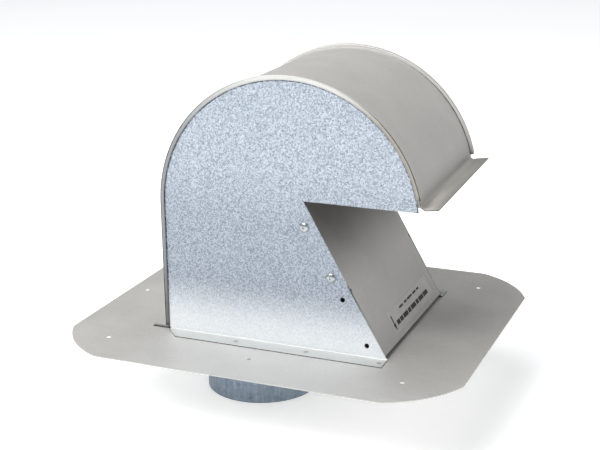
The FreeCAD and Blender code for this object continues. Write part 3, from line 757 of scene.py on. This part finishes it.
# %% A metal with lines along its work
def lined_metal(name, sizes, tones, gloss, detail=3):
    """A metal whose tone and gloss follow lines along the way it was drawn or rolled."""
    material = new_material(name)
    spot = add_node(material, "ShaderNodeTexCoord").outputs["Object"]
    per_metre = [1 / (size * MM) for size in sizes]
    draw = add_node(material, "ShaderNodeMapping", {"Scale": per_metre}, {"Vector": spot})
    lines = add_node(
        material, "ShaderNodeTexNoise", {"Scale": 1, "Detail": detail}, {"Vector": draw.outputs["Vector"]}
    )
    tone = add_node(
        material,
        "ShaderNodeMix",
        {"data_type": "RGBA", 6: linear(tones[0]), 7: linear(tones[1])},
        {"Factor": lines.outputs["Fac"]},
    )
    matte = add_node(
        material,
        "ShaderNodeMapRange",
        {"To Min": gloss[0], "To Max": gloss[1]},
        {"Value": lines.outputs["Fac"]},
    )
    skin = add_node(
        material,
        "ShaderNodeBsdfPrincipled",
        {"Metallic": 1.0},
        {"Base Color": tone.outputs[2], "Roughness": matte.outputs["Result"]},
    )
    add_node(material, "ShaderNodeOutputMaterial", None, {"Surface": skin.outputs["BSDF"]})
    print(name, "with lines of", sizes, "mm")
    return material


# %% Material: zinc-plated steel of the rivets' stems
STEM_LINES = (1.111, 11.11, 1.111)
plated = lined_metal("steel_zinc_plated", STEM_LINES, ("#7f868c", "#c3c9cc"), (0.25, 0.45))

# %% Material: drawn stainless wire of the hinge rod
ROD_LINES = (0.6667, 25, 0.6667)
stainless = lined_metal("stainless_steel_drawn_wire", ROD_LINES, ("#8e8d8a", "#cfcdc8"), (0.18, 0.34))

# %% [markdown]
# The retainers were dipped in hot oil, which leaves a nearly black skin with brownish blooms.

# %% Material: oil-blackened spring steel of the retainers
BLOOM = 1.5 * MM
blackened = new_material("spring_steel_oil_blackened")
spot = add_node(blackened, "ShaderNodeTexCoord").outputs["Object"]
bloom = add_node(blackened, "ShaderNodeTexNoise", {"Scale": 1 / BLOOM, "Detail": 2}, {"Vector": spot})
tone = add_node(
    blackened,
    "ShaderNodeMix",
    {"data_type": "RGBA", 6: linear("#2b2d31"), 7: linear("#5a5550")},
    {"Factor": bloom.outputs["Fac"]},
)
matte = add_node(
    blackened, "ShaderNodeMapRange", {"To Min": 0.35, "To Max": 0.6}, {"Value": bloom.outputs["Fac"]}
)
skin = add_node(
    blackened,
    "ShaderNodeBsdfPrincipled",
    {"Metallic": 1.0},
    {"Base Color": tone.outputs[2], "Roughness": matte.outputs["Result"]},
)
add_node(blackened, "ShaderNodeOutputMaterial", None, {"Surface": skin.outputs["BSDF"]})
print("oil blooms", BLOOM / MM, "mm wide")

# %% Material: mill-finish aluminium of the damper
BLADE_LINES = (33.33, 0.9, 33.33)
mill = lined_metal("aluminium_mill_finish", BLADE_LINES, ("#a8aaac", "#e2e3e4"), (0.25, 0.45), detail=4)

# %% [markdown]
# ## Nylon, label film, ink and weld marks
#
# The hinge rod turns in two injection-moulded nylon bushings, milky and a little waxy, with faint flow
# marks. The label is a silvery polyester film with a soft sheen and long ripples, and its marks are a dull
# dark ink. These three aren't bare metal, so their IOR is that of a plastic. A spot weld leaves the sheet
# scorched: the coat is burnt to a dull grey with patches of soot.

# %% Material: moulded nylon
FLOW = 2 * MM
nylon = flecked("nylon_moulded_natural", FLOW, ("#e3dfd2", "#f4f2ea"), {"Roughness": 0.45, "IOR": 1.53})

# %% Material: label film
RIPPLE = 9 * MM
film = flecked(
    "polyester_film_silvery",
    RIPPLE,
    ("#bebbb6", "#d3d0cc"),
    {"Roughness": 0.42, "IOR": 1.57, "Metallic": 0.25},
    detail=1,
)

# %% Material: printed ink
INK_PATCH = 1.5 * MM
ink = flecked("printing_ink_dark_dull", INK_PATCH, ("#191818", "#3b3937"), {"Roughness": 0.6, "IOR": 1.5})

# %% Material: scorched spot of a resistance weld
SOOT = 1.4 * MM
scorched = flecked(
    "steel_spot_weld_scorched", SOOT, ("#7d7871", "#b7b2aa"), {"Metallic": 0.8, "Roughness": 0.55}
)

# %% [markdown]
# ## From a bmesh to a finished piece
#
# Every new piece ends the same way: doubles merged, normals pointing out, the mesh put in an object at the
# origin, and the object tied to the CAD body that carries it.

# %% Finishing helper
MERGE = 0.001 * MM


def finish_piece(shape, name, material, replaced=None, smooth=True, outward=True):
    """Turns a bmesh into an object that rides on the housing, with one material."""
    bmesh.ops.remove_doubles(shape, verts=shape.verts, dist=MERGE)
    if outward:
        bmesh.ops.recalc_face_normals(shape, faces=shape.faces)
    for face in shape.faces:
        face.smooth = smooth
    mesh = bpy.data.meshes.new(name)
    shape.to_mesh(mesh)
    shape.free()
    mesh.materials.append(material)
    piece = bpy.data.objects.new(name, mesh)
    bpy.context.scene.collection.objects.link(piece)
    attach(piece, "housing")
    if replaced:
        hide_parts(replaced)
    print(name, len(mesh.polygons), "faces")
    return piece


# %% [markdown]
# ## The hood's bent sheet
#
# One sheet goes up the back, over the arch and out to the lip. Along both edges it steps outwards and folds
# round the side plates, which makes the raised seam that runs all the way round. The outer skin is drawn as
# a few points across half the sheet, pulled up the back, spun over the arch and mirrored. The folds are
# bevelled to the radius that a folding machine leaves, and only then does the skin get its thickness.

# %% Sizes of the hood's ends
FOOT_TOP = ROOF_TOP + GAUGE
FOOT_BEND = 1 * MM
FOOT_END = -69 * MM
SEAM_FOOT = 3.7 * MM
SEAM_BAND = 3.9 * MM
SEAM_END = math.radians(12.4)
MOUTH = 129.3 * MM
LIP_TILT = math.radians(8)
LIP_LIFT = 4 * MM
LIP_BEND = 5 * MM
LIP_LENGTH = 10.7 * MM
LIP_RISE = MOUTH - ARCH_CENTRE.z + LIP_LIFT + (LIP_BEND + GAUGE) * math.cos(LIP_TILT)
LIP_TURN = math.asin(LIP_RISE / (WEB_RADIUS + LIP_BEND))
SEAM_TIP = ARCH_CENTRE.z + WEB_RADIUS * math.sin(SEAM_END)
BACK_X = ARCH_CENTRE.x - WEB_RADIUS
ACROSS = Vector((0, 1, 0))
print("the lip's bend starts", round(math.degrees(LIP_TURN), 1), "degrees above the arch's centre")

# %% Drawing helpers for bent sheet
def row(shape, points):
    """Joins points by edges and returns the edges."""
    verts = [shape.verts.new(point) for point in points]
    return [shape.edges.new(pair) for pair in zip(verts, verts[1:])]


def pull(shape, edges, step):
    """Extrudes edges by a step and returns the new edges."""
    grown = bmesh.ops.extrude_edge_only(shape, edges=edges)["geom"]
    fresh = [item for item in grown if isinstance(item, bmesh.types.BMVert)]
    bmesh.ops.translate(shape, verts=fresh, vec=step)
    return [item for item in grown if isinstance(item, bmesh.types.BMEdge)]


def turn(shape, edges, centre, angle, steps):
    """Spins edges about an axis across the hood and returns the last edges."""
    ends = list({vert for edge in edges for vert in edge.verts})
    spun = bmesh.ops.spin(
        shape, geom=edges + ends, cent=centre, axis=ACROSS, angle=angle, steps=steps, use_duplicate=False
    )
    return [item for item in spun["geom_last"] if isinstance(item, bmesh.types.BMEdge)]


def in_web(edge):
    """Whether an edge lies on the web, inside the seam."""
    return all(vert.co.y < WEB_HALF + NEARLY for vert in edge.verts)


print("sheet helpers:", row.__name__, pull.__name__, turn.__name__)

# %% The foot flange and its bend
hood = bmesh.new()
foot = row(hood, [Vector((FOOT_END, y, FOOT_TOP)) for y in (0, WEB_HALF, PLATE_FACE)])
foot = pull(hood, foot, Vector((BACK_X - FOOT_BEND - FOOT_END, 0, 0)))
bend_centre = Vector((BACK_X - FOOT_BEND, 0, FOOT_TOP + FOOT_BEND))
foot = turn(hood, foot, bend_centre, -math.pi / 2, 6)
foot = pull(hood, foot, Vector((0, 0, SEAM_FOOT - FOOT_TOP - FOOT_BEND)))
print("foot ends at", [round(v.co.z / MM, 2) for edge in foot for v in edge.verts])

# %% The seam and the web, up the back and over the arch
seam_back = ARCH_CENTRE.x - RIM_RADIUS
seam = row(hood, [
    Vector((seam_back, WEB_HALF, SEAM_FOOT)),
    Vector((seam_back, HOOD_HALF, SEAM_FOOT)),
    Vector((seam_back + SEAM_BAND, HOOD_HALF, SEAM_FOOT)),
])
web = [edge for edge in foot if in_web(edge)]
corner = max((v for edge in web for v in edge.verts), key=lambda v: v.co.y)
step_edge = hood.edges.new((corner, min(seam[0].verts, key=lambda v: v.co.y)))
profile = pull(hood, web + [step_edge] + seam, Vector((0, 0, ARCH_CENTRE.z - SEAM_FOOT)))
profile = turn(hood, profile, ARCH_CENTRE, math.pi - SEAM_END, 84)
print("after the arch:", sorted({round(v.co.z / MM, 1) for edge in profile for v in edge.verts}))

# %% [markdown]
# The seam ends at the mouth, but the web goes on into the lip, a soft bend with a straight strip. Beside
# the bend a small ear of the web is turned out round the seam's end.

# %% The lip's bend
web_end = [
    edge for edge in profile
    if in_web(edge) and all(abs((v.co - ARCH_CENTRE).xz.length - WEB_RADIUS) < 2 * NEARLY for v in edge.verts)
]
lip = turn(hood, web_end, ARCH_CENTRE, SEAM_END - LIP_TURN, 1)
lip_reach = WEB_RADIUS + LIP_BEND
lip_centre = ARCH_CENTRE + lip_reach * Vector((math.cos(LIP_TURN), 0, math.sin(LIP_TURN)))
lip = turn(hood, lip, lip_centre, -(math.pi / 2 + LIP_TILT - LIP_TURN), 8)
print("the bend ends at", [round(v.co.x / MM, 1) for v in lip[0].verts], "mm")

# %% The ear beside the bend, and the lip's strip
EAR_FOOT = MOUTH + LIP_LIFT + 0.9 * MM
EAR_STEPS = (Vector((-0.4, 1.1, -0.1)) * MM, Vector((-3.6, 0.3, -1.2)) * MM)


def beside_bend(vert):
    """Whether a point lies on the web's side edge, beside the bend of the lip."""
    on_side = abs(vert.co.y - WEB_HALF) < NEARLY
    return on_side and EAR_FOOT < vert.co.z < SEAM_TIP and vert.co.x > lip_centre.x - 1.1 * LIP_BEND


ear = [edge for edge in hood.edges if edge.is_boundary and all(beside_bend(v) for v in edge.verts)]
for ear_step in EAR_STEPS:
    ear = pull(hood, ear, ear_step)
pull(hood, lip, Vector((math.cos(LIP_TILT), 0, math.sin(LIP_TILT))) * LIP_LENGTH)
print("lip reaches", round(max(v.co.x for v in hood.verts) / MM, 1), "mm, ear edges:", len(ear))

# %% The folds' own radii
RIM_FOLD = 0.8 * MM
STEP_FOLD = 0.9 * MM
SHARP = math.radians(60)


def bevel_folds(shape, folds, radius):
    """Rounds fold lines to a radius."""
    bmesh.ops.bevel(
        shape,
        geom=folds,
        offset=radius,
        offset_type="OFFSET",
        segments=5,
        profile=0.5,
        affect="EDGES",
        material=-1,
    )


folds = [edge for edge in hood.edges if edge.calc_face_angle(0) > SHARP]
rim = [edge for edge in folds if all(v.co.y > HOOD_HALF - NEARLY for v in edge.verts)]
bevel_folds(hood, rim, RIM_FOLD)
steps = [edge for edge in hood.edges if edge.calc_face_angle(0) > SHARP]
bevel_folds(hood, steps, STEP_FOLD)
print("fold lines: rim", len(rim), "step", len(steps))

# %% [markdown]
# The lip isn't quite level from side to side: it was bent by hand after the hood was folded. So once the
# half is mirrored, the lip is turned up a little on one side and down on the other.

# %% The other half and the lip's set
LIP_SET = 2.6 * MM
bmesh.ops.mirror(hood, geom=hood.verts[:] + hood.edges[:] + hood.faces[:], axis="Y", merge_dist=MERGE)
bmesh.ops.remove_doubles(hood, verts=hood.verts, dist=MERGE)
bmesh.ops.recalc_face_normals(hood, faces=hood.faces)
bend_start = ARCH_CENTRE.x + WEB_RADIUS * math.cos(LIP_TURN)
for vert in hood.verts:
    if vert.co.x > bend_start and abs(vert.co.y) < PLATE_FACE and vert.co.z < SEAM_TIP:
        share = min(1, (vert.co.x - bend_start) / LIP_BEND)
        vert.co.z += LIP_SET * share * vert.co.y / WEB_HALF
crest = max(hood.faces, key=lambda face: face.calc_center_median().z)
if crest.normal.z < 0:
    bmesh.ops.reverse_faces(hood, faces=hood.faces)
print("hood skin:", len(hood.faces), "faces, lip turned by", LIP_SET / MM, "mm at each side")

# %% The sheet's thickness and its sheared edge
hood_sheet = finish_piece(hood, "hood_sheet", folded, replaced="hood_wrap", outward=False)
hood_sheet.data.materials.append(sheared_edge_shaded)
wall = hood_sheet.modifiers.new("thickness", "SOLIDIFY")
wall.thickness = GAUGE
wall.offset = -1
wall.use_even_offset = True
wall.material_offset_rim = 1
print("hood sheet", round(wall.thickness / MM, 1), "mm thick")

# %% [markdown]
# ## Rivets
#
# A blind rivet's head is a low dome with a sharp little hole where its stem broke off. The profile of the
# whole rivet, from the bore over the dome and down the shank to the blind end, is spun once round its axis.

# %% The rivet's profile
GRIP = 1.5 * MM
HEAD = 4.3 * MM
HEAD_EDGE = 0.35 * MM
CROWN = 1.9 * MM
BORE = 0.95 * MM
SHANK = 2.03 * MM
BULB = 3 * MM
BLIND_END = 5.7 * MM
HOLE_EDGE = 0.05 * MM


def rivet_shape():
    """A rivet about its own Z, with its head up."""
    shape = bmesh.new()
    turns = [math.radians(degrees) for degrees in (0, 12, 26, 40, 54, 66, 75)]
    dome = [(HEAD * math.cos(a), HEAD_EDGE + (CROWN - HEAD_EDGE) * math.sin(a)) for a in turns]
    points = [(BORE, -BLIND_END), (BULB, -BLIND_END), (BULB, -GRIP), (SHANK, -GRIP), (SHANK, 0), (HEAD, 0)]
    points += dome + [(BORE, CROWN - HOLE_EDGE), (BORE, -BLIND_END)]
    edges = row(shape, [Vector((x, 0, z)) for x, z in points])
    bmesh.ops.spin(
        shape,
        geom=edges + shape.verts[:],
        cent=(0, 0, 0),
        axis=(0, 0, 1),
        angle=math.tau,
        steps=40,
        use_merge=True,
        use_duplicate=False,
    )
    return shape


print("rivet head", 2 * HEAD / MM, "mm across and", CROWN / MM, "mm high")

# %% Four rivets
RIVET_INSET = 10.3 * MM
RIVET_LEVELS = {"upper": 128.4 * MM, "lower": 81.4 * MM}
SIDES = {"left": -1, "right": 1}
SPLIT_ANGLE = math.radians(40)


def slope_point(along, inset, side):
    """A point of a side plate's face, from how far it lies up the sloping edge and behind it."""
    point = SLOPE_FOOT + UP_SLOPE * along + INTO_PLATE * inset
    return Vector((point.x, side * PLATE_FACE, point.z))


for name, side in SIDES.items():
    for level, along in RIVET_LEVELS.items():
        shape = rivet_shape()
        place = Matrix.Translation(slope_point(along, RIVET_INSET, side))
        tip_over = Matrix.Rotation(-side * math.pi / 2, 4, "X")
        bmesh.ops.transform(shape, matrix=place @ tip_over, verts=shape.verts)
        node = f"rivet_{name}_{level}"
        rivet = finish_piece(shape, node + "_dome", rivet_metal, replaced=node)
        sharp = rivet.modifiers.new("sharp", "EDGE_SPLIT")
        sharp.split_angle = SPLIT_ANGLE

# %% [markdown]
# ## Spot welds on the feet
#
# Three spot welds hold each side plate's foot to the flashing. The electrode leaves a shallow round dimple
# with a scorched ring. Each is a small disc, inset twice, its middle pressed down.

# %% Weld marks
WELD_RADIUS = 2.3 * MM
WELD_RISE = 0.12 * MM
WELD_LIFT = 0.01 * MM
RING_WIDTH = 0.5 * MM
DIMPLE_WIDTH = 0.6 * MM
DIMPLE_DEPTH = 0.8 * WELD_RISE
WELD_PLACES = (14.5 * MM, 78.7 * MM, 142.9 * MM)
FOOT_MIDDLE = 87 * MM
for name, side in SIDES.items():
    shape = bmesh.new()
    for forward in WELD_PLACES:
        disc = bmesh.ops.create_circle(shape, cap_ends=True, segments=28, radius=WELD_RADIUS)["verts"]
        bmesh.ops.translate(shape, verts=disc, vec=(forward, side * FOOT_MIDDLE, FOOT_TOP + WELD_LIFT))
    tops = shape.faces[:]
    bmesh.ops.inset_individual(shape, faces=tops, thickness=RING_WIDTH, depth=WELD_RISE)
    bmesh.ops.inset_individual(shape, faces=tops, thickness=DIMPLE_WIDTH, depth=-DIMPLE_DEPTH)
    finish_piece(shape, "weld_marks_" + name, scorched, outward=False)

# %% [markdown]
# ## The label's marks
#
# The label carries plain marks: two rows of bars, and an arrow that points down the slope. Each bar is
# a thin flat strip that lies just above the film.

# %% Two rows of bars
LABEL_FACE = 0.2 * MM
INK_LIFT = 0.03 * MM
OUT_OF_SLOPE = INTO_PLATE * -1
ON_FILM = SLOPE_FOOT + OUT_OF_SLOPE * (LABEL_FACE + INK_LIFT)
SMALL_ROW = ((-13, -3.5), (0.5, 7), (9, 22), (24, 33), (35, 41))
LARGE_ROW = (
    (-30, -22.6), (-21.4, -14.2), (-13, -1), (0.6, 7), (8.4, 21), (22.4, 29), (30.4, 42), (43.2, 55)
)
print_shape = bmesh.new()


def label_bar(along, low, high, height):
    """A printed strip on the film, from low to high across it, in millimetres."""
    bar = bmesh.ops.create_grid(print_shape, x_segments=1, y_segments=1, size=0.5)["verts"]
    bmesh.ops.scale(print_shape, verts=bar, vec=(height * MM, (high - low) * MM, 1))
    axes = Matrix((UP_SLOPE, ACROSS, OUT_OF_SLOPE)).transposed().to_4x4()
    centre = ON_FILM + UP_SLOPE * along * MM + ACROSS * (low + high) / 2 * MM
    bmesh.ops.transform(print_shape, verts=bar, matrix=Matrix.Translation(centre) @ axes)


for along, height, bars in ((24.4, 1.9, SMALL_ROW), (16, 4, LARGE_ROW)):
    for low, high in bars:
        label_bar(along, low, high, height)
print("bars:", len(print_shape.faces))

# %% The arrow and the finished marks
ARROW_HEAD = ((16.4, -36), (17.6, -38.9), (11, -36), (17.6, -33.1))
label_bar(20.5, -37.1, -34.9, 9)
tip = [print_shape.verts.new(ON_FILM + UP_SLOPE * up * MM + ACROSS * side * MM) for up, side in ARROW_HEAD]
print_shape.faces.new(tip)
finish_piece(print_shape, "label_print", ink, smooth=False, outward=False)

# %% [markdown]
# ## Finishes of the CAD's own pieces
#
# The CAD nodes whose shape is right stay as they are. Each one's material slots get the finish of the real
# piece. The hanger is cut from the same galvanised sheet as the side plates.

# %% Assign the finishes
FINISHES = {
    "base_flashing": satin,
    "duct_collar": collar_zinc_shaded,
    "front_panel": sheltered,
    "front_label": film,
    "damper_hanger": galvanised,
    "damper_rod": stainless,
    "damper_blade": mill,
}
for name in SIDES:
    FINISHES["side_panel_" + name] = galvanised
    FINISHES["rod_bushing_" + name] = nylon
    FINISHES["rod_retainer_" + name] = blackened
    for level in RIVET_LEVELS:
        FINISHES[f"mandrel_{name}_{level}"] = plated
for name, finish in FINISHES.items():
    for slot in nodes[name].material_slots:
        slot.link = "OBJECT"
        slot.material = finish
print("finished nodes:", len(FINISHES))

# %% [markdown]
# ## Floor, light and camera
#
# A catalogue picture is taken on a table of opal acrylic that is lit from below, so nearly no shadow shows.
# The floor is that table. Its glow grows with the distance from the object, so the far end stays as white as
# the middle, which the lamps reach. The floor's own sizes below are in metres.

# %% Floor
FLOOR_HALF = 8
GLOW_FROM, GLOW_TO = 0.8, 2.5
HAZE = 0.333
floor_level = cad_box[0][2]
opal = new_material("opal_acrylic_backlit")
spot = add_node(opal, "ShaderNodeTexCoord").outputs["Object"]
haze = add_node(opal, "ShaderNodeTexNoise", {"Scale": 1 / HAZE}, {"Vector": spot})
tone = add_node(
    opal,
    "ShaderNodeMix",
    {"data_type": "RGBA", 6: linear("#fafafa"), 7: linear("#ffffff")},
    {"Factor": haze.outputs["Fac"]},
)
away = add_node(opal, "ShaderNodeVectorMath", {"operation": "LENGTH"}, {"Vector": spot})
glow = add_node(
    opal,
    "ShaderNodeMapRange",
    {"From Min": GLOW_FROM, "From Max": GLOW_TO, "To Min": 0.4, "To Max": 0.65},
    {"Value": away.outputs["Value"]},
)
skin = add_node(
    opal,
    "ShaderNodeBsdfPrincipled",
    {"Roughness": 0.9, "Emission Color": linear("#fbfdff")},
    {"Base Color": tone.outputs[2], "Emission Strength": glow.outputs["Result"]},
)
add_node(opal, "ShaderNodeOutputMaterial", None, {"Surface": skin.outputs["BSDF"]})
floor_shape = bmesh.new()
bmesh.ops.create_grid(floor_shape, x_segments=1, y_segments=1, size=FLOOR_HALF)
bmesh.ops.translate(floor_shape, verts=floor_shape.verts, vec=(0, 0, floor_level))
floor_mesh = bpy.data.meshes.new("floor")
floor_shape.to_mesh(floor_mesh)
floor_shape.free()
floor_mesh.materials.append(opal)
floor = bpy.data.objects.new("floor", floor_mesh)
bpy.context.scene.collection.objects.link(floor)
print("floor at", round(floor_level / MM, 1), "mm")

# %% [markdown]
# Metal shows what is round it, so five wide soft lights stand round the table: a strong one for the near
# side plate, and weaker ones above, behind, before the mouth and on the far side. A dim even world fills
# the rest.

# %% Lights
AIM = Vector((0.04, 0, 0.1))
WORLD_STRENGTH = 0.16
LIGHTS = (
    ("key_light", (-0.55, -1.3, 1.6), 1.1, 42.5),
    ("top_light", (-0.3, 0.1, 2.0), 1.4, 16),
    ("left_light", (-1.6, 0.3, 0.9), 1.0, 5),
    ("side_light", (1.7, -0.2, 0.8), 1.0, 5.5),
    ("far_light", (0.6, 1.6, 1.0), 1.0, 3),
)
for name, place, width, power in LIGHTS:
    light = bpy.data.lights.new(name, "AREA")
    light.shape = "SQUARE"
    light.size = width
    light.energy = power
    lamp = bpy.data.objects.new(name, light)
    facing = (AIM - Vector(place)).to_track_quat("-Z", "Y").to_matrix().to_4x4()
    lamp.matrix_world = Matrix.Translation(place) @ facing
    bpy.context.scene.collection.objects.link(lamp)
world = bpy.data.worlds.new("studio")
world.use_nodes = True
world.node_tree.nodes["Background"].inputs["Color"].default_value = linear("#f4f6f8")
world.node_tree.nodes["Background"].inputs["Strength"].default_value = WORLD_STRENGTH
bpy.context.scene.world = world
bpy.context.scene.view_settings.view_transform = "Standard"

# %% [markdown]
# The camera stands where the photograph was taken from, about 1.2 m from the collar, with a lens of
# 77.5 mm. Its place, its angles in radians and its focal length in pixels come from fitting one camera to
# the picture.

# %% Camera
YAW, PITCH, ROLL = -0.394, -0.304, -0.011
CAMERA_PLACE = Vector((456.6, -1005.6, 423.7)) * MM
FOCAL_PIXELS = 1291.8
PICTURE_WIDTH = 600
SENSOR = 36
lens = bpy.data.cameras.new("camera")
lens.sensor_fit = "HORIZONTAL"
lens.sensor_width = SENSOR
lens.lens = SENSOR * FOCAL_PIXELS / PICTURE_WIDTH
camera = bpy.data.objects.new("camera", lens)
camera.matrix_world = (
    Matrix.Translation(CAMERA_PLACE)
    @ Matrix.Rotation(-YAW, 4, "Z")
    @ Matrix.Rotation(math.pi / 2 + PITCH, 4, "X")
    @ Matrix.Rotation(ROLL, 4, "Z")
)
bpy.context.scene.collection.objects.link(camera)
bpy.context.scene.camera = camera
print("lens", round(lens.lens, 1), "mm")
